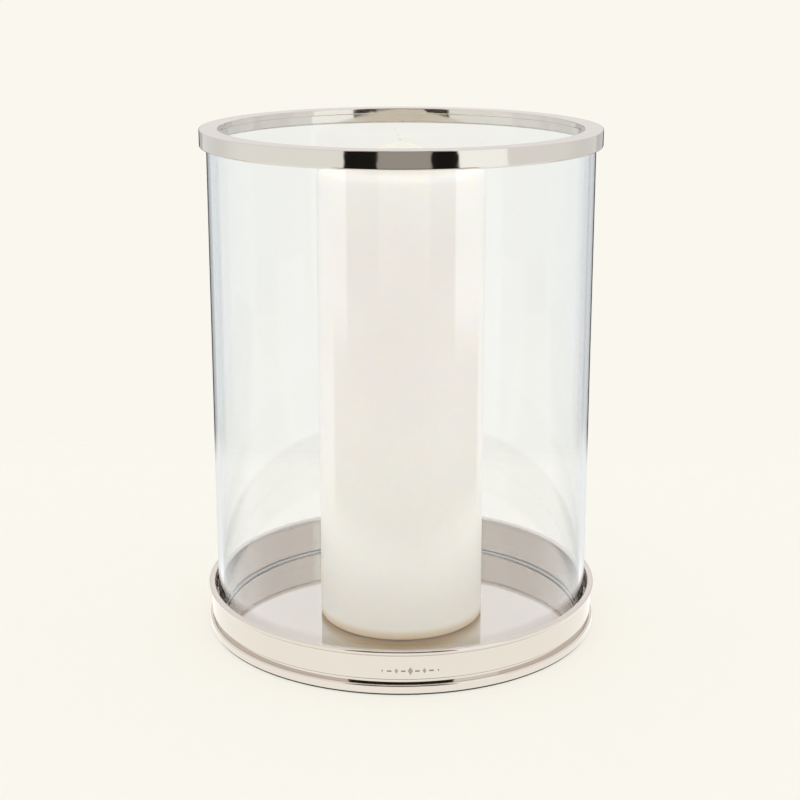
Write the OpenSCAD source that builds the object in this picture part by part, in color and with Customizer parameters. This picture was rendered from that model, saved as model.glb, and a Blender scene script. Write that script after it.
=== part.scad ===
// Hurricane candle lantern: a shallow spun tray on a felt pad, a glass cylinder
// with a metal cap ring, and a pillar candle standing in the middle of the tray.
// Millimetres, +Z up. The origin is on the lantern's axis, at the level it stands on.

/* [Lantern] */
// Outside diameter of the tray's lip, the widest part
lantern_d = 242; // [210:1:280]
// Height from the table to the top of the cap ring
lantern_h = 309; // [240:1:360]

/* [Tray] */
// Height of the top of the tray's lip above the table
tray_h = 27.2; // [24:0.1:36]
// Thickness of the spun sheet
sheet_t = 1.4; // [1:0.1:1.6]
// Width of the lip, seen from above
lip_w = 3.9; // [3.5:0.1:4.2]
// Height of the lip
lip_h = 3.2; // [2.6:0.1:3.6]
// Overhang of the lip beyond the outside of the wall
lip_overhang = 1.6; // [1.4:0.1:2]
// Width of the shadow groove between the foot ring and the wall
groove_w = 2.5; // [1.5:0.1:3.5]
// Height of the foot ring
foot_h = 5.4; // [4:0.1:7]
// Overhang of the foot ring beyond the outside of the wall
foot_overhang = 1.4; // [0.8:0.1:1.5]
// Thickness of the felt pad
felt_t = 1.1; // [0.8:0.1:2]

/* [Engraved border] */
// Height of the middle lozenge of the border
mark_h = 4.8; // [2:0.1:6]
// Length of the whole border along the wall
mark_len = 36; // [20:1:60]
// Depth of the engraving
mark_depth = 0.35; // [0.2:0.05:0.6]
// Angle of the border from the front, towards the right
mark_turn = 2.5; // [0:0.5:20]

/* [Glass] */
// Wall thickness of the glass cylinder
glass_t = 3; // [2.4:0.1:4]
// Clear gap between the lip and the glass
glass_gap = 1.9; // [1.7:0.1:3]
// Bevel ground on the glass's edges
glass_bevel = 0.5; // [0.2:0.1:0.8]

/* [Cap ring] */
// Outside height of the cap ring
ring_h = 10.4; // [9:0.1:14]
// Width of the cap ring, seen from above
ring_w = 11.2; // [10.6:0.1:12]
// Thickness of the cap ring's metal
ring_t = 2.2; // [1.6:0.1:2.4]
// Height of the lip that hangs inside the cap ring
ring_lip_h = 3.9; // [3:0.1:4.5]
// Height of the inner band, from the top of the ring to the band's lower edge
inner_band_drop = 9; // [8:0.1:9]
// Thickness of the silicone seat above the glass
seat_t = 0.8; // [0.5:0.1:1.2]

/* [Candle] */
// Diameter of the pillar candle
candle_d = 101.6; // [60:0.1:110]
// Height of the wax from the tray floor to its peak
wax_h = 298; // [140:1:300]
// Slope of the candle's top
top_slope = 18; // [10:1:20]
// Diameter of the braided wick
wick_d = 2.2; // [1.6:0.1:3]
// Diameter of the wick sustainer's disc
sustainer_d = 20; // [12:1:32]

/* [Hidden] */
$fn = 96;
eps = 0.01;

// Tray, from the lip inwards
lip_r = lantern_d / 2;
wall_r = lip_r - lip_overhang;
foot_wall_r = wall_r - sheet_t;
foot_r = wall_r + foot_overhang;
floor_z = felt_t + sheet_t;
foot_top = felt_t + foot_h;
ledge_z = foot_top + groove_w;
lip_round = 1.2;
lip_cove = 1.1;
floor_fillet = 0.9;
wall_round = 1.1;
foot_round = 1.2;
felt_inset = 0.9;

// Glass and cap ring
glass_r = lip_r - lip_w - glass_gap;
ring_r = lip_r - 1.7;
ring_bottom = lantern_h - ring_h;
ring_lip_r = ring_r - ring_w;
ring_lip_t = 2;
ring_round = 0.5;
band_r = ring_lip_r + ring_lip_t;
band_t = 1.4;
flange_z = lantern_h - ring_t;
glass_top = flange_z - seat_t;
seat_inset = 0.7;

// Candle
candle_r = candle_d / 2;
wax_foot_round = 3;
shoulder_round = 4;
shoulder_tan_r = candle_r - shoulder_round * (1 - sin(top_slope));
peak_z = floor_z + wax_h;
shoulder_tan_z = peak_z - shoulder_tan_r * tan(top_slope);
shoulder_z = shoulder_tan_z - shoulder_round * cos(top_slope);
wick_r = wick_d / 2;
wick_reach = 3.4;
wick_free = 8.3;
wick_sides = 16;
wick_steps = 8;
wick_start = peak_z - 0.6;
sustainer_z = floor_z + 0.2;
sustainer_t = 0.5;
neck_r = wick_r + 0.5;
neck_h = 6;

// Engraved border: nine pieces, alternately a lozenge and a bar, smaller towards the ends
mark_z = ledge_z + sheet_t + 4.3;
mark_count = 4;
mark_step = mark_len / (2 * mark_count + 1) / wall_r * 180 / PI;
bar_h = 0.7;

nickel = [0.82, 0.79, 0.74];
felt_blue = [0.16, 0.17, 0.21];
clear_glass = [0.86, 0.92, 0.93, 0.35];
clear_silicone = [0.9, 0.9, 0.9, 0.6];
ivory_wax = [0.96, 0.94, 0.89];
cotton = [0.94, 0.91, 0.84];
tinplate = [0.7, 0.7, 0.7];

// A rectangle of the turned section, between two radii and two heights
module band(r0, r1, z0, z1) {
    translate([r0, z0]) square([r1 - r0, z1 - z0]);
}

// The same rectangle with all four corners rounded
module round_band(r0, r1, z0, z1, corner) {
    band(r0 + corner, r1 - corner, z0, z1);
    band(r0, r1, z0 + corner, z1 - corner);
    for (r = [r0 + corner, r1 - corner], z = [z0 + corner, z1 - corner])
        translate([r, z]) circle(corner);
}

// The same rectangle with only its two outer corners rounded
module outer_round_band(r0, r1, z0, z1, corner) {
    band(r0, r1 - corner, z0, z1);
    band(r0, r1, z0 + corner, z1 - corner);
    for (z = [z0 + corner, z1 - corner]) translate([r1 - corner, z]) circle(corner);
}

// A hollow quarter-round that fills an inside corner at (r, z); the signs point into the open space
module cove(r, z, size, r_sign, z_sign) {
    translate([r, z]) difference() {
        translate([min(0, r_sign * size), min(0, z_sign * size)]) square(size);
        translate([r_sign * size, z_sign * size]) circle(size);
    }
}

module tray_section() {
    // floor, and the short wall that the foot ring fits round
    band(0, foot_wall_r, felt_t, floor_z);
    band(foot_wall_r - sheet_t, foot_wall_r, felt_t, ledge_z + sheet_t);
    cove(foot_wall_r - sheet_t, floor_z, floor_fillet, -1, 1);
    // ledge that steps out over the groove, rounded where it turns up into the wall
    band(foot_wall_r - sheet_t, wall_r - wall_round, ledge_z, ledge_z + sheet_t);
    translate([wall_r - wall_round, ledge_z + wall_round]) circle(wall_round);
    // wall and lip
    band(wall_r - sheet_t, wall_r, ledge_z + wall_round, tray_h - lip_h / 2);
    round_band(lip_r - lip_w, lip_r, tray_h - lip_h, tray_h, lip_round);
    cove(wall_r, tray_h - lip_h, lip_cove, 1, -1);
}

module lozenge(h) {
    polygon([[-0.32 * h, 0], [0, -0.5 * h], [0.32 * h, 0], [0, 0.5 * h]]);
}

// A generic border of lozenges and bars, cut into the front of the wall
module engraved_border() {
    for (i = [-mark_count:mark_count]) {
        size = mark_h * (1 - 0.16 * abs(i));
        rotate([0, 0, mark_turn + i * mark_step])
            translate([0, -wall_r + mark_depth, mark_z])
            rotate([90, 0, 0])
            linear_extrude(2 * mark_depth)
            if (i % 2 == 0) lozenge(size);
            else square([2.8, bar_h], center = true);
    }
}

module tray_pan() {
    color(nickel) difference() {
        rotate_extrude() tray_section();
        engraved_border();
    }
}

module foot_ring() {
    color(nickel) rotate_extrude()
        outer_round_band(foot_wall_r, foot_r, felt_t, foot_top, foot_round);
}

module felt_pad() {
    color(felt_blue) cylinder(r = foot_r - felt_inset, h = felt_t);
}

module glass_cylinder() {
    inner_r = glass_r - glass_t;
    color(clear_glass) rotate_extrude() polygon([
        [inner_r + glass_bevel, floor_z],
        [glass_r - glass_bevel, floor_z],
        [glass_r, floor_z + glass_bevel],
        [glass_r, glass_top - glass_bevel],
        [glass_r - glass_bevel, glass_top],
        [inner_r + glass_bevel, glass_top],
        [inner_r, glass_top - glass_bevel],
        [inner_r, floor_z + glass_bevel]
    ]);
}

module rim_ring() {
    color(nickel) rotate_extrude() {
        round_band(ring_r - ring_t, ring_r, ring_bottom, lantern_h, ring_round);
        round_band(ring_lip_r, ring_r, flange_z, lantern_h, ring_round);
        round_band(ring_lip_r, band_r, lantern_h - ring_lip_h, lantern_h, ring_round);
    }
}

module rim_inner_band() {
    band_bottom = lantern_h - inner_band_drop;
    color(nickel) rotate_extrude() {
        band(band_r, band_r + band_t, band_bottom + ring_round, flange_z);
        round_band(band_r, band_r + band_t, band_bottom, flange_z - ring_round, ring_round);
    }
}

// A channel of silicone over the glass's upper edge, filling the space in the cap ring
module rim_seat() {
    color(clear_silicone) rotate_extrude() difference() {
        union() {
            band(band_r + band_t, ring_r - ring_t,
                 lantern_h - inner_band_drop + seat_inset, flange_z);
            band(glass_r, ring_r - ring_t, ring_bottom + seat_inset, flange_z);
        }
        band(glass_r - glass_t, glass_r, 0, glass_top);
    }
}

// Cylinder with a rounded foot, a rounded shoulder and a low cone on top
module wax_section() {
    polygon([
        [0, floor_z],
        [candle_r - wax_foot_round, floor_z],
        [candle_r, floor_z + wax_foot_round],
        [candle_r, shoulder_z],
        [shoulder_tan_r, shoulder_tan_z],
        [0, peak_z]
    ]);
    translate([candle_r - wax_foot_round, floor_z + wax_foot_round]) circle(wax_foot_round);
    translate([candle_r - shoulder_round, shoulder_z]) circle(shoulder_round);
}

module candle_wax() {
    color(ivory_wax) difference() {
        rotate_extrude() wax_section();
        // hole for the wick, and the pocket that holds the sustainer
        cylinder(r = wick_r, h = peak_z + 1);
        translate([0, 0, sustainer_z]) cylinder(r = neck_r, h = neck_h);
        cylinder(d = sustainer_d, h = sustainer_z + sustainer_t);
    }
}

// The wick's free end leans to the left in an S, which t follows from 0 at the wax to 1
function s_curve(t) = t * t * (3 - 2 * t);
function wick_centre(t) = [-wick_reach * s_curve(t), 0, wick_start + wick_free * t];
function wick_tilt(t) = -atan(wick_reach * 6 * t * (1 - t) / wick_free);
function wick_ring(centre, tilt) = [
    for (k = [0:wick_sides - 1]) let (a = 360 * k / wick_sides)
        centre + wick_r * [cos(a) * cos(tilt), sin(a), -cos(a) * sin(tilt)]
];

// One tube: straight through the wax, then along the S
module candle_wick() {
    rings = [
        wick_ring([0, 0, sustainer_z], 0),
        for (i = [0:wick_steps]) let (t = i / wick_steps)
            wick_ring(wick_centre(t), wick_tilt(t))
    ];
    last = (len(rings) - 1) * wick_sides;
    sides = [
        for (i = [0:len(rings) - 2], k = [0:wick_sides - 1])
            let (low = i * wick_sides, high = low + wick_sides, next = (k + 1) % wick_sides)
            [low + k, high + k, high + next, low + next]
    ];
    bottom = [for (k = [0:wick_sides - 1]) k];
    top = [for (k = [wick_sides - 1:-1:0]) last + k];
    color(cotton) polyhedron([for (ring = rings) each ring], concat([bottom], sides, [top]));
}

module wick_sustainer() {
    color(tinplate) translate([0, 0, sustainer_z]) difference() {
        union() {
            cylinder(d = sustainer_d, h = sustainer_t);
            cylinder(r = neck_r, h = neck_h);
        }
        translate([0, 0, -eps]) cylinder(r = wick_r, h = neck_h + 2 * eps);
    }
}

tray_pan();
foot_ring();
felt_pad();
glass_cylinder();
rim_ring();
rim_inner_band();
rim_seat();
candle_wax();
candle_wick();
wick_sustainer();
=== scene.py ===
import math
import random

import bmesh
import bpy
from mathutils import Matrix, Vector, noise


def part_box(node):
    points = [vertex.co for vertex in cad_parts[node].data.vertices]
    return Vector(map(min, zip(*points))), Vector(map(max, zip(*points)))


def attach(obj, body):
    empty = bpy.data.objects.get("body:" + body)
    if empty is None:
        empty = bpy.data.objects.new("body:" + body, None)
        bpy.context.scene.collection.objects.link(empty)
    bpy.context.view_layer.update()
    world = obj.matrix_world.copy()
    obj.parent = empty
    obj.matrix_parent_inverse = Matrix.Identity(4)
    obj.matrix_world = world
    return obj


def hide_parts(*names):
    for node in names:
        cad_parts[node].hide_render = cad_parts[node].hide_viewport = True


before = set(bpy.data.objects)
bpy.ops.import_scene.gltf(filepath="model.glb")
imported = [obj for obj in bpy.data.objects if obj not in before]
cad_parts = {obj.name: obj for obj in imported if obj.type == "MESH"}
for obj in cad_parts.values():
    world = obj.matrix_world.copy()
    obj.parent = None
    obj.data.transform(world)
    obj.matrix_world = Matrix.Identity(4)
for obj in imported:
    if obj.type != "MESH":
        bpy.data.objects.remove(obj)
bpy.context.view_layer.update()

MM = 0.001
TURN = 2 * math.pi
SEGMENTS = 384          # faces round each turned piece
ARC_STEP = math.radians(11)
SLACK = 0.03 * MM       # air left between faces that touch, so that they don't fight

# ---------------------------------------------------------------- sizes from the frame

tray_low, tray_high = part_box("tray_pan")
foot_low, foot_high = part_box("foot_ring")
felt_low, felt_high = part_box("felt_pad")
glass_low, glass_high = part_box("glass_cylinder")
ring_low, ring_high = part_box("rim_ring")
band_low, band_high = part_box("rim_inner_band")
seat_low, seat_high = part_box("rim_seat")
wax_low, wax_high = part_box("candle_wax")
wick_low, wick_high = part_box("candle_wick")
tab_low, tab_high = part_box("wick_sustainer")

SHEET = 1.4 * MM
LIP_WIDTH, LIP_HEIGHT, LIP_OVERHANG = 3.9 * MM, 3.2 * MM, 1.6 * MM
GROOVE = 2.5 * MM
LIP_R = tray_high.x
WALL_R = LIP_R - LIP_OVERHANG
FOOT_WALL_R = WALL_R - SHEET
FLOOR_Z = tray_low.z + SHEET
LEDGE_Z = foot_high.z + GROOVE

GLASS_R = glass_high.y
GLASS_WALL = 3 * MM
GLASS_BEVEL = 0.5 * MM

RING_R = ring_high.x
RING_WALL = 2.2 * MM
RING_WIDTH = 11.2 * MM
RING_LIP_R = RING_R - RING_WIDTH
RING_LIP_WALL = 2 * MM
RING_LIP_HEIGHT = 3.9 * MM
FLANGE_Z = ring_high.z - RING_WALL
BAND_R = RING_LIP_R + RING_LIP_WALL
BAND_WALL = 1.4 * MM

CANDLE_R = wax_high.x
TOP_SLOPE = math.radians(18)
WICK_R = wick_high.x
WICK_FREE = 8.3 * MM
WICK_REACH = 3.4 * MM

# Border engraved in the front of the tray's wall: lozenges and bars
MARK_Z = LEDGE_Z + SHEET + 4.3 * MM
MARK_HEIGHT = 4.8 * MM
MARK_LENGTH = 36 * MM
MARK_EACH_SIDE = 4
MARK_STEP = MARK_LENGTH / (2 * MARK_EACH_SIDE + 1)
MARK_TURN = math.radians(2.5)
MARK_DEPTH = 0.35 * MM
MARK_BEVEL = 0.22 * MM
BAR_LENGTH, BAR_HEIGHT = 2.8 * MM, 0.7 * MM
MARK_GRID = 0.15 * MM    # mesh spacing over the border


# ---------------------------------------------------------------- mesh helpers

def rounded(corners, closed):
    """An outline in (radius, height) whose corners (r, z, fillet radius) are rounded with arcs."""
    points = []
    count = len(corners)
    for i, (r, z, fillet) in enumerate(corners):
        here = Vector((r, z))
        if fillet == 0 or (not closed and i in (0, count - 1)):
            points.append(here)
            continue
        before = (Vector(corners[i - 1][:2]) - here).normalized()
        after = (Vector(corners[(i + 1) % count][:2]) - here).normalized()
        half = before.angle(after) / 2
        centre = here + (before + after).normalized() * (fillet / math.sin(half))
        start = here + before * (fillet / math.tan(half)) - centre
        end = here + after * (fillet / math.tan(half)) - centre
        sweep = start.angle_signed(end)
        steps = max(2, math.ceil(abs(sweep) / ARC_STEP))
        for k in range(steps + 1):
            spoke = start.copy()
            spoke.rotate(Matrix.Rotation(-sweep * k / steps, 2))
            points.append(centre + spoke)
    return points


def add_mesh(name, bm, flat_angle=40):
    """A new smooth-shaded object; edges sharper than flat_angle stay crisp."""
    bmesh.ops.recalc_face_normals(bm, faces=bm.faces)
    mesh = bpy.data.meshes.new(name)
    bm.to_mesh(mesh)
    bm.free()
    mesh.polygons.foreach_set("use_smooth", [True] * len(mesh.polygons))
    mesh.set_sharp_from_angle(angle=math.radians(flat_angle))
    piece = bpy.data.objects.new(name, mesh)
    bpy.context.scene.collection.objects.link(piece)
    weighted = piece.modifiers.new("even_normals", "WEIGHTED_NORMAL")
    weighted.keep_sharp = True
    weighted.weight = 100
    return piece


def lathe(name, outline, closed, angles=None, place=None, slot_of=None):
    """Turns an outline of (r, z) round the axis.

    angles lists the directions of the sections, place(r, z, angle) may move each point,
    and slot_of(i) gives the material index of the faces on outline segment i.
    """
    angles = angles or [TURN * k / SEGMENTS for k in range(SEGMENTS)]
    place = place or (lambda r, z, angle: (r, z))
    bm = bmesh.new()
    poles = [bm.verts.new((0, 0, p[1])) if p[0] < 1e-9 else None for p in outline]
    sections = []
    for angle in angles:
        section = []
        for pole, (r, z) in zip(poles, outline):
            if pole:
                section.append(pole)
                continue
            r2, z2 = place(r, z, angle)
            section.append(bm.verts.new((r2 * math.cos(angle), r2 * math.sin(angle), z2)))
        sections.append(section)
    spans = len(outline) if closed else len(outline) - 1
    for k, section in enumerate(sections):
        following = sections[(k + 1) % len(sections)]
        for i in range(spans):
            j = (i + 1) % len(outline)
            ring = [section[i], following[i], following[j], section[j]]
            corners = list(dict.fromkeys(ring))
            if len(corners) > 2:
                face = bm.faces.new(corners)
                face.material_index = slot_of(i) if slot_of else 0
    return add_mesh(name, bm)


def tube(bm, path, radius_at, sides, cap=True):
    """Sweeps a round section along path; radius_at(t) is its radius at t from 0 to 1."""
    rings = []
    normal = Vector((1, 0, 0))
    for i, point in enumerate(path):
        ahead = path[min(i + 1, len(path) - 1)] - path[max(i - 1, 0)]
        normal = (normal - ahead * (normal.dot(ahead) / ahead.length_squared)).normalized()
        across = ahead.normalized().cross(normal)
        radius = radius_at(i / (len(path) - 1))
        rings.append([
            bm.verts.new(point + radius * (math.cos(a) * normal + math.sin(a) * across))
            for a in (TURN * k / sides for k in range(sides))
        ])
    for low, high in zip(rings, rings[1:]):
        for k in range(sides):
            n = (k + 1) % sides
            bm.faces.new((low[k], low[n], high[n], high[k]))
    if cap:
        bm.faces.new(list(reversed(rings[0])))
        bm.faces.new(rings[-1])


def finish_piece(piece, body, node, slot, *materials):
    """Puts a piece on its body in place of a CAD node, with its materials; slot is not used."""
    for material in materials:
        piece.data.materials.append(material)
    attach(piece, body)
    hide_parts(node)
    return piece


# ---------------------------------------------------------------- material helpers

class Nodes:
    """Short names for building one material's node tree."""

    def __init__(self, name):
        self.material = bpy.data.materials.new(name)
        self.material.use_nodes = True
        self.tree = self.material.node_tree
        self.tree.nodes.clear()
        self.output = self.tree.nodes.new("ShaderNodeOutputMaterial")
        self.shader = self.tree.nodes.new("ShaderNodeBsdfPrincipled")
        self.link(self.shader.outputs["BSDF"], self.output.inputs["Surface"])
        self.position = self.tree.nodes.new("ShaderNodeTexCoord").outputs["Object"]

    def link(self, source, target):
        self.tree.links.new(source, target)

    def set(self, **values):
        for name, value in values.items():
            socket = self.shader.inputs[name.replace("_", " ")]
            socket.default_value = value

    def math(self, operation, a, b=None, clamp=False):
        node = self.tree.nodes.new("ShaderNodeMath")
        node.operation = operation
        node.use_clamp = clamp
        for socket, value in zip(node.inputs, (a, b)):
            if isinstance(value, (int, float)):
                socket.default_value = value
            elif value is not None:
                self.link(value, socket)
        return node.outputs[0]

    def remap(self, value, low, high, to_low, to_high, smooth=False):
        node = self.tree.nodes.new("ShaderNodeMapRange")
        node.interpolation_type = "SMOOTHSTEP" if smooth else "LINEAR"
        self.link(value, node.inputs["Value"])
        limits = zip(("From Min", "From Max", "To Min", "To Max"), (low, high, to_low, to_high))
        for name, number in limits:
            node.inputs[name].default_value = number
        return node.outputs["Result"]

    def noise(self, vector, scale, detail=3.0, roughness=0.5):
        node = self.tree.nodes.new("ShaderNodeTexNoise")
        self.link(vector, node.inputs["Vector"])
        node.inputs["Scale"].default_value = scale
        node.inputs["Detail"].default_value = detail
        node.inputs["Roughness"].default_value = roughness
        return node.outputs["Fac"]

    def stretched(self, scale):
        node = self.tree.nodes.new("ShaderNodeVectorMath")
        node.operation = "MULTIPLY"
        self.link(self.position, node.inputs[0])
        node.inputs[1].default_value = scale
        return node.outputs[0]

    def polar(self, turn_scale):
        """Coordinates of a turned surface: angle (scaled), radius and height, in metres."""
        split = self.tree.nodes.new("ShaderNodeSeparateXYZ")
        self.link(self.position, split.inputs[0])
        x, y, z = split.outputs
        radius = self.math("SQRT", self.math("ADD", self.math("MULTIPLY", x, x),
                                             self.math("MULTIPLY", y, y)))
        angle = self.math("ARCTAN2", y, x)
        join = self.tree.nodes.new("ShaderNodeCombineXYZ")
        self.link(self.math("MULTIPLY", self.math("SINE", angle), turn_scale), join.inputs[0])
        self.link(radius, join.inputs[1])
        self.link(z, join.inputs[2])
        return join.outputs[0], radius, z

    def ramp(self, value, *stops):
        node = self.tree.nodes.new("ShaderNodeValToRGB")
        elements = node.color_ramp.elements
        while len(elements) < len(stops):
            elements.new(0.5)
        for element, (place, colour) in zip(elements, stops):
            element.position = place
            element.color = (*colour, 1)
        self.link(value, node.inputs["Fac"])
        return node.outputs["Color"]

    def mix(self, factor, a, b):
        node = self.tree.nodes.new("ShaderNodeMix")
        node.data_type = "RGBA"
        self.link(factor, node.inputs["Factor"])
        for socket, value in zip((node.inputs["A"], node.inputs["B"]), (a, b)):
            if isinstance(value, tuple):
                socket.default_value = (*value, 1)
            else:
                self.link(value, socket)
        return node.outputs["Result"]

    def bump(self, height, distance, strength=1.0, base=None):
        node = self.tree.nodes.new("ShaderNodeBump")
        node.inputs["Distance"].default_value = distance
        node.inputs["Strength"].default_value = strength
        self.link(height, node.inputs["Height"])
        if base:
            self.link(base, node.inputs["Normal"])
        return node.outputs["Normal"]


# ---------------------------------------------------------------- materials

def polished_nickel(name, colour=(0.68, 0.625, 0.56), engraved=False, ripple=(22, 0.06 * MM)):
    """Warm mirror plate with faint spinning lines, a slow ripple and a few soft smears."""
    n = Nodes(name)
    n.set(Metallic=1.0)
    turned, radius, height = n.polar(0.02)
    lines = n.noise(turned, 2600, 2)
    smears = n.noise(n.position, 38, 4, 0.6)
    ripple_scale, ripple_depth = ripple
    waves = n.noise(n.position, ripple_scale, 1)
    tone = n.ramp(n.noise(n.position, 9, 3), (0.3, colour),
                  (0.7, tuple(c * 0.975 for c in colour)))
    roughness = n.math("ADD", n.remap(smears, 0.45, 0.75, 0.035, 0.075),
                       n.remap(lines, 0.3, 0.7, 0.0, 0.02))
    if engraved:
        sunk = n.math("SUBTRACT", WALL_R, radius)
        inside = n.remap(sunk, 0.05 * MM, 0.2 * MM, 0.0, 1.0)
        shallow = n.remap(sunk, SHEET * 0.45, SHEET * 0.5, 1.0, 0.0)
        low = n.remap(height, MARK_Z - MARK_HEIGHT, MARK_Z - MARK_HEIGHT * 0.9, 0.0, 1.0)
        high = n.remap(height, MARK_Z + MARK_HEIGHT * 0.9, MARK_Z + MARK_HEIGHT, 1.0, 0.0)
        cut = n.math("MULTIPLY", n.math("MULTIPLY", inside, shallow), n.math("MULTIPLY", low, high))
        tone = n.mix(cut, tone, (0.40, 0.35, 0.28))
        roughness = n.math("ADD", roughness, n.math("MULTIPLY", cut, 0.3))
    n.link(tone, n.shader.inputs["Base Color"])
    n.link(roughness, n.shader.inputs["Roughness"])
    slow = n.bump(waves, ripple_depth)
    n.link(n.bump(lines, 0.002 * MM, 1.0, slow), n.shader.inputs["Normal"])
    return n.material


def clear_glass():
    """Drawn soda-lime glass: no colour face on, cool grey-green through its length."""
    n = Nodes("clear_glass")
    n.set(Transmission_Weight=1.0, IOR=1.5, Base_Color=(1, 1, 1, 1))
    draw = n.noise(n.stretched((1, 1, 0.12)), 30, 2)
    n.set(Roughness=0.0)
    n.link(n.bump(draw, 0.008 * MM), n.shader.inputs["Normal"])
    absorb = n.tree.nodes.new("ShaderNodeVolumeAbsorption")
    absorb.inputs["Color"].default_value = (0.45, 0.72, 0.88, 1)
    absorb.inputs["Density"].default_value = 9.0
    n.link(absorb.outputs[0], n.output.inputs["Volume"])
    return n.material


def ground_glass():
    """The glass's edges as ground: pale and frosted."""
    n = Nodes("ground_glass")
    n.set(Transmission_Weight=0.9, IOR=1.5, Base_Color=(1, 1, 1, 1))
    grain = n.noise(n.position, 2400, 2)
    n.link(n.remap(grain, 0.3, 0.7, 0.4, 0.6), n.shader.inputs["Roughness"])
    n.link(n.bump(grain, 0.02 * MM), n.shader.inputs["Normal"])
    return n.material


def clear_silicone():
    n = Nodes("clear_silicone")
    n.set(Transmission_Weight=0.55, IOR=1.41, Subsurface_Weight=0.2)
    cloud = n.noise(n.position, 160, 3)
    n.link(n.ramp(cloud, (0.3, (0.86, 0.88, 0.87)), (0.7, (0.92, 0.93, 0.92))),
           n.shader.inputs["Base Color"])
    n.link(n.remap(cloud, 0.3, 0.7, 0.22, 0.4), n.shader.inputs["Roughness"])
    n.link(n.bump(n.noise(n.position, 500, 2), 0.03 * MM), n.shader.inputs["Normal"])
    return n.material


def ivory_wax():
    """Translucent paraffin: faint mottling, a satin skin and the soft waves of its mould, with
    painted light: a painted warm bounce light low down, a painted top light under the shoulder,
    painted shade on the top face and a brown painted contact shadow at the foot.
    """
    n = Nodes("ivory_wax")
    n.set(Subsurface_Weight=0.75, Subsurface_Scale=9 * MM, IOR=1.44, Specular_IOR_Level=0.4)
    n.shader.inputs["Subsurface Radius"].default_value = (1.0, 0.72, 0.45)
    mottle = n.noise(n.position, 26, 5, 0.6)
    grain = n.noise(n.position, 420, 3)
    skin = n.noise(n.stretched((1, 1, 0.25)), 70, 3)
    body = n.ramp(mottle, (0.3, (0.895, 0.858, 0.822)), (0.7, (0.92, 0.886, 0.855)))
    _, radius, height = n.polar(1.0)
    # painted warm bounce light: the lower part of the wax is lighter and warmer, standing in for
    # light thrown up from the nickel tray (mixed in below)
    low = n.remap(height, FLOOR_Z + 10 * MM, FLOOR_Z + 200 * MM, 1.0, 0.0, smooth=True)
    # painted contact shadow: a brown band round the rounded bottom edge, where the candle stands on
    # the tray
    foot = n.math("MULTIPLY",
                  n.remap(height, FLOOR_Z + 2 * MM, FLOOR_Z + 8 * MM, 1.0, 0.0, smooth=True),
                  n.remap(radius, CANDLE_R - 5 * MM, CANDLE_R - 2 * MM, 0.0, 1.0, smooth=True))
    body = n.mix(low, body, (0.985, 0.93, 0.87))
    shoulder = FLOOR_Z + 281 * MM
    # painted top light: the wax grows lighter towards the shoulder, as if lit through its edge from
    # above
    glow = n.remap(height, shoulder - 45 * MM, shoulder, 0.0, 1.0, smooth=True)
    body = n.mix(glow, body, (0.955, 0.925, 0.895))
    # painted shade: the sloped top face is darker, to hold back the strong light from above
    painted_top_shade = n.remap(height, shoulder + 1 * MM, shoulder + 6 * MM, 0.0, 1.0, smooth=True)
    body = n.mix(painted_top_shade, body, (0.76, 0.745, 0.675))
    # the brown painted contact shadow at the foot goes on last
    n.link(n.mix(foot, body, (0.74, 0.59, 0.41)), n.shader.inputs["Base Color"])
    n.link(n.remap(skin, 0.3, 0.7, 0.32, 0.46), n.shader.inputs["Roughness"])
    waves = n.bump(skin, 0.10 * MM)
    n.link(n.bump(grain, 0.012 * MM, 1.0, waves), n.shader.inputs["Normal"])
    return n.material


def wool_felt():
    n = Nodes("wool_felt")
    n.set(Sheen_Weight=0.35, Sheen_Roughness=0.5, Roughness=0.95)
    fibres = n.noise(n.position, 1500, 4, 0.7)
    clumps = n.noise(n.position, 220, 3)
    n.link(n.mix(clumps, n.ramp(fibres, (0.3, (0.020, 0.022, 0.030)), (0.75, (0.075, 0.080, 0.10))),
                 (0.040, 0.044, 0.056)), n.shader.inputs["Base Color"])
    n.link(n.bump(fibres, 0.25 * MM), n.shader.inputs["Normal"])
    return n.material


def waxed_cotton():
    n = Nodes("waxed_cotton")
    n.set(Sheen_Weight=0.2, Subsurface_Weight=0.3, Subsurface_Scale=0.6 * MM)
    yarn = n.noise(n.stretched((1, 1, 0.35)), 3200, 3, 0.6)
    n.link(n.ramp(yarn, (0.3, (0.90, 0.88, 0.80)), (0.7, (0.97, 0.95, 0.90))),
           n.shader.inputs["Base Color"])
    n.link(n.remap(yarn, 0.3, 0.7, 0.5, 0.75), n.shader.inputs["Roughness"])
    n.link(n.bump(yarn, 0.05 * MM), n.shader.inputs["Normal"])
    return n.material


def tinplate():
    n = Nodes("tinplate")
    n.set(Metallic=1.0)
    spangle = n.noise(n.position, 260, 3)
    scratches = n.noise(n.stretched((1, 0.04, 1)), 2600, 2)
    n.link(n.ramp(spangle, (0.3, (0.62, 0.63, 0.65)), (0.7, (0.74, 0.74, 0.75))),
           n.shader.inputs["Base Color"])
    n.link(n.remap(scratches, 0.3, 0.7, 0.2, 0.42), n.shader.inputs["Roughness"])
    n.link(n.bump(scratches, 0.006 * MM), n.shader.inputs["Normal"])
    return n.material


# ---------------------------------------------------------------- the tray

def mark_depth(along, height):
    """How deep the engraved border is at a place on the wall, from 0 to 1 with bevelled sides."""
    deepest = 0.0
    for i in range(-MARK_EACH_SIDE, MARK_EACH_SIDE + 1):
        u, v = abs(along - i * MARK_STEP), abs(height - MARK_Z)
        if i % 2 == 0:
            tall = MARK_HEIGHT * (1 - 0.16 * abs(i))
            wide = 0.32 * tall
            inward = (1 - u / wide - v / (tall / 2)) * wide * 0.84
        else:
            inward = min(BAR_LENGTH / 2 - u, BAR_HEIGHT / 2 - v)
        deepest = max(deepest, min(1.0, inward / MARK_BEVEL))
    return deepest


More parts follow.
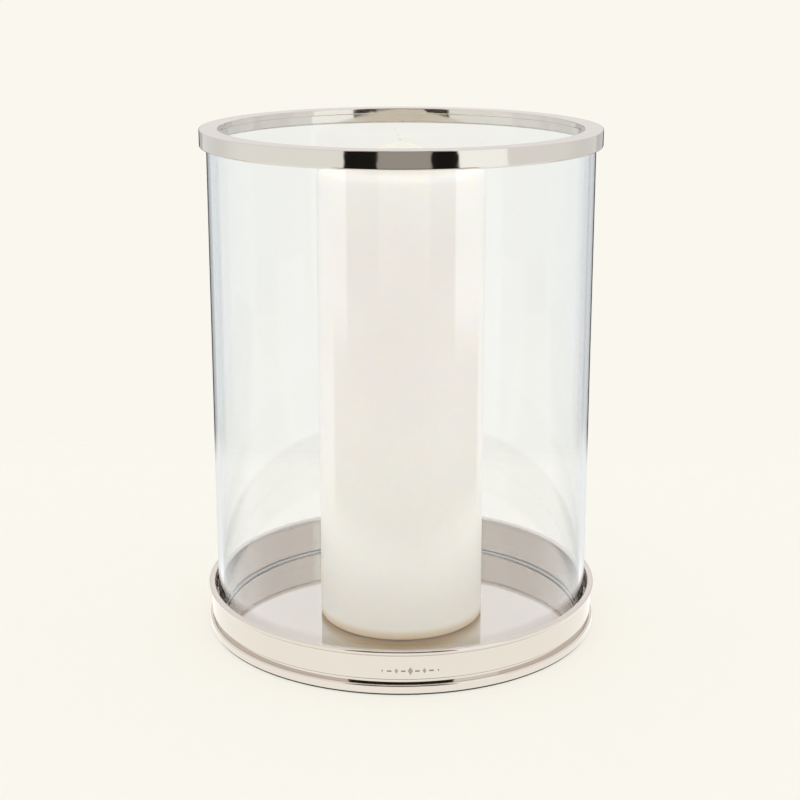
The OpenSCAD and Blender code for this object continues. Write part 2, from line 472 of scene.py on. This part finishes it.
def tray_angles():
    """Sections all round, set close together where the border is engraved."""
    front = -math.pi / 2 + MARK_TURN
    reach = (MARK_LENGTH / 2 + MARK_STEP) / WALL_R
    fine = MARK_GRID / WALL_R
    coarse = TURN / SEGMENTS
    dense = math.ceil(2 * reach / fine)
    sparse = math.ceil((TURN - 2 * reach) / coarse)
    inside = [front - reach + 2 * reach * k / dense for k in range(dense)]
    outside = [front + reach + (TURN - 2 * reach) * k / sparse for k in range(sparse)]
    return inside + outside


def build_tray(metal):
    lip_in = LIP_R - LIP_WIDTH
    lip_under = tray_high.z - LIP_HEIGHT
    wall_in = WALL_R - SHEET
    foot_in = FOOT_WALL_R - SHEET
    ledge_top = LEDGE_Z + SHEET
    outline = rounded([
        (0, tray_low.z, 0),
        (FOOT_WALL_R, tray_low.z, 0.6 * MM),
        (FOOT_WALL_R, LEDGE_Z, 0.3 * MM),
        (WALL_R, LEDGE_Z, 1.1 * MM),
        (WALL_R, lip_under - 0.4 * MM, 2.0 * MM),
        (LIP_R, lip_under + 1.0 * MM, 1.2 * MM),
        (LIP_R, tray_high.z, 1.2 * MM),
        (lip_in, tray_high.z, 1.2 * MM),
        (lip_in, lip_under, 0.8 * MM),
        (wall_in, lip_under, 0.2 * MM),
        (wall_in, ledge_top, 0.4 * MM),
        (foot_in, ledge_top, 0.4 * MM),
        (foot_in, FLOOR_Z, 0.9 * MM),
        (0, FLOOR_Z, 0),
    ], closed=False)
    wall_start = next(i for i, p in enumerate(outline)
                      if abs(p.x - WALL_R) < 1e-7 and outline[i + 1].y > MARK_Z)
    half = MARK_HEIGHT / 2 + 0.3 * MM
    rows = math.ceil(2 * half / MARK_GRID)
    outline[wall_start + 1:wall_start + 1] = [
        Vector((WALL_R, MARK_Z - half + 2 * half * k / rows)) for k in range(rows + 1)
    ]
    front = -math.pi / 2 + MARK_TURN

    def engrave(r, z, angle):
        turned = (angle - front + math.pi) % TURN - math.pi
        if abs(r - WALL_R) > 1e-7 or abs(turned) > 0.2:
            return r, z
        return r - MARK_DEPTH * mark_depth(turned * WALL_R, z), z

    tray = lathe("tray_spun_metal", outline, False, tray_angles(), engrave)
    finish_piece(tray, "base", "tray_pan", "nickel", metal)


def build_foot(metal):
    outline = rounded([
        (FOOT_WALL_R, foot_low.z, 0),
        (foot_high.x, foot_low.z, 1.0 * MM),
        (foot_high.x, foot_high.z, 1.2 * MM),
        (FOOT_WALL_R, foot_high.z, 0),
    ], closed=True)
    foot = lathe("foot_band", outline, True)
    finish_piece(foot, "base", "foot_ring", "nickel", metal)


def build_felt(material):
    """A pad with a soft, slightly uneven cut edge and a nap on its underside."""
    radius = felt_high.x
    outline = rounded([
        (0, felt_low.z, 0),
        (radius, felt_low.z, 0.35 * MM),
        (radius, felt_high.z, 0.3 * MM),
        (0, felt_high.z, 0),
    ], closed=False)
    rings = [radius * k / 12 for k in range(1, 12)]
    outline[1:1] = [Vector((r, felt_low.z)) for r in rings]

    def nap(r, z, angle):
        place = Vector((math.cos(angle), math.sin(angle), z * 400)) * r
        fuzz = noise.noise(place * 900)
        edge = 0.12 * MM * (fuzz - 1) if r > radius * 0.98 else 0
        lift = 0.04 * MM * (1 + fuzz) if z < felt_low.z + 0.1 * MM else 0
        return r + edge, z + lift

    felt = lathe("felt_base_pad", outline, False, place=nap)
    finish_piece(felt, "base", "felt_pad", "felt", material)


# ---------------------------------------------------------------- the shade

def build_glass(clear, ground):
    inner = GLASS_R - GLASS_WALL
    low, high, bevel = glass_low.z + SLACK, glass_high.z, GLASS_BEVEL
    outline = [Vector(p) for p in (
        (inner + bevel, low), (GLASS_R - bevel, low), (GLASS_R, low + bevel),
        (GLASS_R, high - bevel), (GLASS_R - bevel, high), (inner + bevel, high),
        (inner, high - bevel), (inner, low + bevel),
    )]
    polished_faces = (2, 6)
    glass = lathe("glass_shade", outline, True,
                  slot_of=lambda i: 0 if i in polished_faces else 1)
    finish_piece(glass, "shade", "glass_cylinder", "glass", clear, ground)


def build_rim(metal):
    top = ring_high.z
    lip_under = top - RING_LIP_HEIGHT
    lip_back = RING_LIP_R + RING_LIP_WALL
    wall_in = RING_R - RING_WALL
    outline = rounded([
        (RING_R, ring_low.z, 1.0 * MM),
        (RING_R, top, 0.7 * MM),
        (RING_LIP_R, top, 0.7 * MM),
        (RING_LIP_R, lip_under, 0.7 * MM),
        (lip_back, lip_under, 0.3 * MM),
        (lip_back, FLANGE_Z, 0.2 * MM),
        (wall_in, FLANGE_Z, 0.2 * MM),
        (wall_in, ring_low.z, 0.45 * MM),
    ], closed=True)
    rim = lathe("rim_cap_ring", outline, True)
    finish_piece(rim, "shade", "rim_ring", "nickel", metal)


def build_inner_band(metal):
    outline = rounded([
        (BAND_R + SLACK, band_low.z, 0.4 * MM),
        (BAND_R + BAND_WALL, band_low.z, 0.4 * MM),
        (BAND_R + BAND_WALL, FLANGE_Z - SLACK, 0),
        (BAND_R + SLACK, FLANGE_Z - SLACK, 0),
    ], closed=True)
    band = lathe("rim_inner_strip", outline, True)
    finish_piece(band, "shade", "rim_inner_band", "nickel", metal)


def build_seat(material):
    """The silicone channel; its two free edges are drawn in a little, as it cures."""
    inner_end = band_low.z + 0.7 * MM
    outer_end = ring_low.z + 0.7 * MM
    glass_in, glass_out = GLASS_R - GLASS_WALL - SLACK, GLASS_R + SLACK
    band_out, ring_in = BAND_R + BAND_WALL + SLACK, RING_R - RING_WALL - SLACK
    sag = 0.25 * MM
    outline = [Vector(p) for p in (
        (ring_in, outer_end), (ring_in, FLANGE_Z - SLACK), (band_out, FLANGE_Z - SLACK),
        (band_out, inner_end), ((band_out + glass_in) / 2, inner_end + sag / 2),
        (glass_in, inner_end), (glass_in, glass_high.z + SLACK),
        (glass_out, glass_high.z + SLACK), (glass_out, outer_end),
        ((glass_out + ring_in) / 2, outer_end + sag),
    )]
    seat = lathe("rim_silicone_seat", outline, True)
    finish_piece(seat, "shade", "rim_seat", "silicone", material)


# ---------------------------------------------------------------- the candle

def build_wax(material):
    peak = FLOOR_Z + 298 * MM
    shoulder = peak - CANDLE_R * math.tan(TOP_SLOPE)
    collar_r, collar_rise = WICK_R + 1.3 * MM, 0.5 * MM
    collar_z = peak - collar_r * math.tan(TOP_SLOPE)
    outline = rounded([
        (0, wax_low.z + SLACK, 0),
        (CANDLE_R, wax_low.z + SLACK, 3 * MM),
        (CANDLE_R, shoulder, 4 * MM),
        (collar_r, collar_z, 1.2 * MM),
        (WICK_R * 0.8, peak + collar_rise, 0.3 * MM),
        (0, peak + collar_rise, 0),
    ], closed=False)
    side = next(i for i, p in enumerate(outline)
                if abs(p.x - CANDLE_R) < 1e-7 and outline[i + 1].y > p.y + 100 * MM)
    base, tall = outline[side].y, outline[side + 1].y - outline[side].y
    rows = 60
    outline[side + 1:side + 1] = [
        Vector((CANDLE_R, base + tall * k / rows)) for k in range(1, rows)
    ]
    top = next(i for i, p in enumerate(outline) if p.y > shoulder and p.x < CANDLE_R * 0.95)
    start, end = outline[top], outline[top + 1]
    outline[top + 1:top + 1] = [start.lerp(end, k / 16) for k in range(1, 16)]

    def cast(r, z, angle):
        """Slow unevenness of a cast pillar, none at the foot."""
        place = Vector((r * math.cos(angle), r * math.sin(angle), z * 0.5))
        uneven = noise.noise(place * 16) + 0.4 * noise.noise(place * 55)
        rise = min(1.0, max(0.0, (z - base) / (20 * MM)))
        if z > shoulder and r < CANDLE_R * 0.97:
            fade = min(1.0, r / (8 * MM))
            return r, z + 0.35 * MM * uneven * fade
        return r - 0.14 * MM * (1 + uneven) * rise, z

    wax = lathe("pillar_wax", outline, False, place=cast)
    finish_piece(wax, "candle", "candle_wax", "wax", material)


def wick_path(start, length, steps):
    """Points up the wick's axis: upright in the wax, then along the S of its free end."""
    foot = wick_high.z - WICK_FREE - WICK_R * 0
    points = []
    for k in range(steps + 1):
        z = start + length * k / steps
        t = min(1.0, max(0.0, (z - foot) / WICK_FREE))
        points.append(Vector((-WICK_REACH * t * t * (3 - 2 * t), 0, z)))
    return points


def build_wick(material):
    """Six yarns braided over each other, frayed at the cut end, on a plain core in the wax."""
    bm = bmesh.new()
    braid_start = wick_high.z - WICK_FREE - 5 * MM
    core = [Vector((0, 0, z)) for z in (wick_low.z, (wick_low.z + braid_start) / 2, braid_start)]
    tube(bm, core, lambda t: WICK_R * 0.95, 24)
    length = wick_high.z - braid_start - 0.3 * MM
    axis = wick_path(braid_start, length, 150)
    yarn_r, orbit, swing, turns = 0.36 * MM, 0.56 * MM, 0.13 * MM, 3.2

    def narrowed(t):
        return 1 - 0.35 * max(0.0, (t - 0.75) / 0.25) ** 2

    for way in (1, -1):
        for k in range(3):
            path = []
            for i, centre in enumerate(axis):
                t = i / (len(axis) - 1)
                angle = way * (TURN * turns * t) + TURN * k / 3
                over = way * math.sin(3 * TURN * turns * t + TURN * k / 3)
                reach = (orbit + swing * over) * narrowed(t)
                path.append(centre + Vector((math.cos(angle), math.sin(angle), 0)) * reach)
            tube(bm, path, lambda t: yarn_r * narrowed(t), 10)
    tip = axis[-1]
    dice = random.Random(7)
    for k in range(18):
        angle, spread = TURN * k / 18, dice.uniform(0.2, 0.75) * MM
        rise = dice.uniform(0.1, 0.28) * MM
        start = tip + Vector((math.cos(angle), math.sin(angle), -2)) * 0.25 * MM
        end = tip + Vector((math.cos(angle) * spread, math.sin(angle) * spread, rise))
        middle = (start + end) / 2 + Vector((0, 0, 0.12 * MM))
        tube(bm, [start, middle, end], lambda t: (0.05 - 0.03 * t) * MM, 6)
    wick = add_mesh("braided_wick", bm, flat_angle=60)
    finish_piece(wick, "candle", "candle_wick", "cotton", material)


def build_sustainer(material):
    """A stamped disc with a stiffening bead, and a neck crimped on the wick."""
    disc_r, low = tab_high.x, tab_low.z
    plate = 0.5 * MM
    neck_r = WICK_R + 0.5 * MM
    outline = rounded([
        (WICK_R, low, 0.1 * MM),
        (disc_r * 0.7, low, 0.3 * MM),
        (disc_r * 0.75, low + 0.15 * MM, 0.3 * MM),
        (disc_r * 0.8, low, 0.3 * MM),
        (disc_r, low, 0.15 * MM),
        (disc_r, low + plate, 0.15 * MM),
        (neck_r, low + plate, 0.25 * MM),
        (neck_r, tab_high.z, 0.2 * MM),
        (WICK_R, tab_high.z, 0.1 * MM),
    ], closed=True)

    def crimp(r, z, angle):
        if z < low + 2.5 * MM or r < WICK_R + 0.2 * MM:
            return r, z
        squeeze = max(0.0, math.cos(3 * angle)) ** 6
        return r - 0.3 * MM * squeeze, z

    tab = lathe("sustainer_tab", outline, True, place=crimp)
    finish_piece(tab, "candle", "wick_sustainer", "tinplate", material)


# ---------------------------------------------------------------- studio

BACKDROP = (0.956, 0.930, 0.855)        # the cream that the camera sees behind the lantern
SOFT_LIGHT = (1.06, 1.045, 1.02)         # what lights the scene from all round
TOP_LIGHT = (1.45, 1.43, 1.36)          # and from straight above
TOP_GAIN = 1.13                         # how much the top light adds on a level surface
THROUGH_GLASS = (0.885, 0.872, 0.815)   # the backdrop as it shows through the shade
TABLE_GLOW = (1.20, 1.21, 1.18)         # the lit table as polished metal mirrors it
FAR_TABLE_GLOW = (0.86, 0.87, 0.85)     # and its far half, as glass mirrors it
TABLE_X, TABLE_Y = 1.1, 0.40
TABLE_FADE = 0.06
TABLE_SHADOW = 0.35                     # how much of the contact shadow the pale table shows

# The studio as polished metal and glass mirror it: panels and the dark gaps between them.
# Each is (azimuths, elevations, edge softness, colour), the first three in degrees.
# Azimuth 0 is the front, positive to the right.
DARK = (0.012, 0.011, 0.010)
PANELS = (
    ((-180, 180), (-90, 90), 0.8, (0.88, 0.86, 0.85)),          # backdrop
    ((-180, 180), (13, 90), 0.8, (1.05, 1.03, 1.06)),           # tent overhead
    ((-180, -31.6), (-90, 4), 0.8, (1.04, 1.09, 1.10)),         # left sweep
    ((-180, -112), (-90, 4), 14, (0.88, 0.92, 0.93)),           # its far end
    ((60, 180), (-90, 4), 0.8, (0.97, 1.01, 1.03)),             # right sweep
    ((112, 180), (-90, 4), 14, (0.86, 0.89, 0.91)),             # its far end
    ((31.3, 60.5), (-60, 40), 0.8, (1.28, 1.355, 1.386)),       # softbox on the right
    ((-40, 46), (-90, -13.5), 0.8, DARK),                       # dark floor before the table
    ((-31.6, 31.3), (-90, 60), 0.8, DARK),                      # dark room round the camera
    ((-31.6, 31.3), (13.5, 23.5), 0.8, (0.74, 0.635, 0.655)),   # its far wall, over the camera
    ((-12.9, 16.6), (-12, 13.5), 0.8, (0.416, 0.406, 0.386)),   # grey card beside the lens
    ((-180, -151), (-90, 3), 2.5, (0.56, 0.57, 0.58)),          # grey edge of the left sweep
    ((143, 180), (-90, 3), 2.5, (0.66, 0.67, 0.68)),            # grey edge of the right sweep
    ((-177, -162), (-90, 3), 0.8, (0.05, 0.05, 0.05)),          # left flag, behind
    ((162, 177), (-90, 3), 0.8, (0.05, 0.05, 0.05)),            # right flag, behind
)


class Studio:
    """Short names for building a world's or stage piece's node tree."""

    def __init__(self, tree):
        self.tree = tree
        tree.nodes.clear()

    def new(self, kind, **settings):
        node = self.tree.nodes.new(kind)
        for key, value in settings.items():
            setattr(node, key, value)
        return node

    def plug(self, socket, value):
        if isinstance(value, tuple):
            socket.default_value = (*value, 1)
        elif isinstance(value, (int, float)):
            socket.default_value = value
        else:
            self.tree.links.new(value, socket)

    def math(self, operation, a, b=0.0):
        node = self.new("ShaderNodeMath", operation=operation)
        self.plug(node.inputs[0], a)
        self.plug(node.inputs[1], b)
        return node.outputs[0]

    def step(self, value, edge, soft):
        """0 below edge and 1 above it, over soft each way; a negative soft turns it round."""
        node = self.new("ShaderNodeMapRange", interpolation_type="SMOOTHSTEP")
        for name, number in (("Value", value), ("From Min", edge - abs(soft)),
                             ("From Max", edge + abs(soft)), ("To Min", float(soft < 0)),
                             ("To Max", float(soft > 0))):
            self.plug(node.inputs[name], number)
        return node.outputs["Result"]

    def between(self, value, low, high, limit, soft):
        """1 between low and high, in degrees; the limit at either end means no edge there."""
        mask = None
        soft = math.radians(soft)
        if low > -limit:
            mask = self.step(value, math.radians(low), soft)
        if high < limit:
            top = self.step(value, math.radians(high), -soft)
            mask = self.math("MULTIPLY", mask, top) if mask else top
        return mask

    def mix(self, factor, a, b):
        node = self.new("ShaderNodeMix", data_type="RGBA")
        self.plug(node.inputs["Factor"], factor)
        self.plug(node.inputs["A"], a)
        self.plug(node.inputs["B"], b)
        return node.outputs["Result"]

    def first_seen(self):
        """Masks from the light path: mirrored, and seen through glass only, before any scatter."""
        path = self.new("ShaderNodeLightPath").outputs
        unscattered = self.math("LESS_THAN", path["Diffuse Depth"], 0.5)
        mirrored = self.math("GREATER_THAN", path["Glossy Depth"], 0.5)
        through = self.math("GREATER_THAN", path["Transmission Depth"], 0.5)
        return (path["Is Camera Ray"], self.math("MULTIPLY", unscattered, mirrored),
                self.math("MULTIPLY", unscattered, through))


def build_world():
    """Even pale light for everything, with studio panels that polished surfaces pick up."""
    world = bpy.data.worlds.new("studio")
    bpy.context.scene.world = world
    world.use_nodes = True
    w = Studio(world.node_tree)
    split = w.new("ShaderNodeSeparateXYZ")
    w.plug(split.inputs[0], w.new("ShaderNodeTexCoord").outputs["Generated"])
    x, y, z = split.outputs
    azimuth = w.math("ARCTAN2", x, w.math("MULTIPLY", y, -1.0))
    elevation = w.math("ARCSINE", z)
    mirrored_colour = PANELS[0][3]
    for (left, right), (low, high), soft, shade in PANELS[1:]:
        mask = w.between(elevation, low, high, 90, 1.6)
        if (left, right) != (-180, 180):
            mask = w.math("MULTIPLY", mask, w.between(azimuth, left, right, 180, soft))
        mirrored_colour = w.mix(mask, mirrored_colour, shade)
    camera, mirrored, through = w.first_seen()
    overhead = w.step(elevation, math.radians(50), math.radians(25))
    colour = w.mix(overhead, SOFT_LIGHT, TOP_LIGHT)
    colour = w.mix(camera, colour, BACKDROP)
    colour = w.mix(through, colour, THROUGH_GLASS)
    colour = w.mix(mirrored, colour, mirrored_colour)
    background = w.new("ShaderNodeBackground")
    w.plug(background.inputs["Color"], colour)
    w.plug(w.new("ShaderNodeOutputWorld").inputs["Surface"], background.outputs[0])


def build_table():
    """A pale table top that melts into the backdrop at its edges."""
    bm = bmesh.new()
    corners = [(-TABLE_X, -TABLE_Y), (TABLE_X, -TABLE_Y), (TABLE_X, TABLE_Y), (-TABLE_X, TABLE_Y)]
    bm.faces.new([bm.verts.new((x, y, 0)) for x, y in corners])
    mesh = bpy.data.meshes.new("table_top")
    bm.to_mesh(mesh)
    bm.free()
    table = bpy.data.objects.new("table_top", mesh)
    bpy.context.scene.collection.objects.link(table)
    material = bpy.data.materials.new("pale_table")
    material.use_nodes = True
    t = Studio(material.node_tree)
    split = t.new("ShaderNodeSeparateXYZ")
    t.plug(split.inputs[0], t.new("ShaderNodeTexCoord").outputs["Object"])
    paint = t.new("ShaderNodeBsdfDiffuse")
    t.plug(paint.inputs["Color"], tuple(b / (s * TOP_GAIN) for b, s in zip(BACKDROP, SOFT_LIGHT)))
    camera, mirrored, through = t.first_seen()
    glow = t.new("ShaderNodeEmission")
    lit = t.mix(t.step(split.outputs[1], 0.05, 0.05), TABLE_GLOW, FAR_TABLE_GLOW)
    t.plug(glow.inputs["Color"], t.mix(mirrored, BACKDROP, lit))
    unlit = t.math("MAXIMUM", mirrored, 1 - TABLE_SHADOW)
    surface = t.new("ShaderNodeMixShader")
    t.plug(surface.inputs[0], unlit)
    t.plug(surface.inputs[1], paint.outputs[0])
    t.plug(surface.inputs[2], glow.outputs[0])
    inside = t.math("MULTIPLY",
                    t.step(t.math("ABSOLUTE", split.outputs[0]), TABLE_X - TABLE_FADE, -TABLE_FADE),
                    t.step(t.math("ABSOLUTE", split.outputs[1]), TABLE_Y - TABLE_FADE, -TABLE_FADE))
    faded = t.new("ShaderNodeMixShader")
    t.plug(faded.inputs[0], inside)
    t.plug(faded.inputs[1], t.new("ShaderNodeBsdfTransparent").outputs[0])
    t.plug(faded.inputs[2], surface.outputs[0])
    t.plug(t.new("ShaderNodeOutputMaterial").inputs["Surface"], faded.outputs[0])
    table.data.materials.append(material)


def build_camera():
    """The viewing height, distance and slope of a product photo taken from just above."""
    distance, height = 8.013 * LIP_R, 3.423 * LIP_R
    slope = math.radians(14.36)
    data = bpy.data.cameras.new("camera")
    data.sensor_width = 36
    data.lens = 36 * 1629.9 / 800
    data.shift_y = -0.05
    data.shift_x = -0.0015
    camera = bpy.data.objects.new("camera", data)
    camera.location = (0, -distance, height)
    camera.rotation_euler = (math.pi / 2 - slope, 0, 0)
    bpy.context.scene.collection.objects.link(camera)
    bpy.context.scene.camera = camera


# ---------------------------------------------------------------- build everything

build_camera()
build_world()
build_table()

nickel_tray = polished_nickel("nickel_tray", engraved=True)
nickel_rim = polished_nickel("nickel_rim", ripple=(95, 0.12 * MM))
build_tray(nickel_tray)
build_foot(polished_nickel("nickel_foot"))
build_felt(wool_felt())
build_glass(clear_glass(), ground_glass())
build_rim(nickel_rim)
build_inner_band(polished_nickel("nickel_strip"))
build_seat(clear_silicone())
build_wax(ivory_wax())
build_wick(waxed_cotton())
build_sustainer(tinplate())

bpy.context.scene.view_settings.view_transform = "Standard"
cycles = bpy.context.scene.cycles
cycles.blur_glossy = 0          # light reaches the candle through the glass unblurred
cycles.glossy_bounces = 12      # and runs down inside the glass to its ground edge
